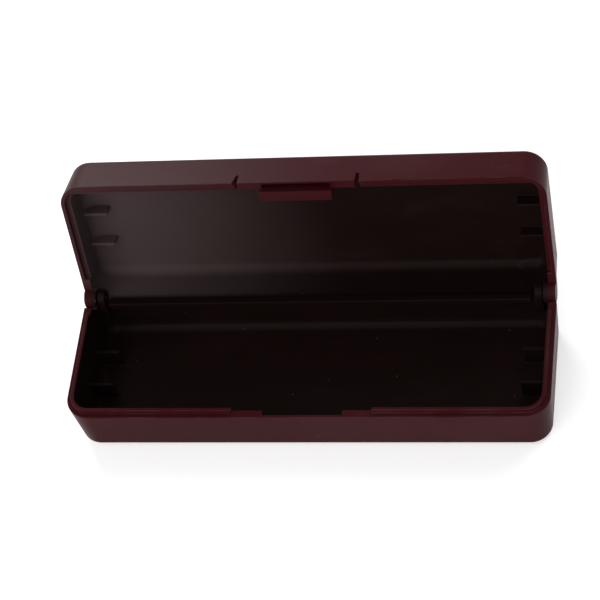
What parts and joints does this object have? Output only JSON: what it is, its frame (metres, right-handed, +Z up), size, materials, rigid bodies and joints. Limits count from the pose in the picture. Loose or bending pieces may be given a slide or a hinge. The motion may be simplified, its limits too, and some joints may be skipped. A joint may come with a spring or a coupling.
{
  "type": "harmonica case",
  "caption": "Small hinged plastic case for a pocket harmonica: rounded base tray with end ribs and a rim lip, and a hinged lid with a springy hooked latch tab.",
  "frame": {"origin": "middle of the base tray's flat underside", "axes": "+X to the right-hand end, -Y to the front where the latch is, +Z up; the hinge is at +Y"},
  "size_m": [0.108, 0.0503, 0.0442],
  "materials": {
    "case_plastic": "dark maroon injection moulding, satin gloss, fine scuffs",
    "pin_plastic": "dark maroon moulded pin, smooth"
  },
  "bodies": {
    "base": {"base_tray": "case_plastic"},
    "lid": {"lid_shell": "case_plastic", "hinge_pin_left": "pin_plastic", "hinge_pin_right": "pin_plastic"},
    "catch": {"catch_tab": "case_plastic"}
  },
  "joints": [
    {"name": "lid_hinge", "type": "hinge", "parent": "base", "child": "lid", "pos_m": [0, 0.01485, 0.0132], "axis": [-1, 0, 0], "range_deg": [-105, 0]},
    {"name": "catch_flex", "type": "hinge", "parent": "lid", "child": "catch", "pos_m": [0, 0.02591, 0.04231], "axis": [1, 0, 0], "range_deg": [0, 4], "stiffness_Nm_per_rad": 0.13}
  ]
}
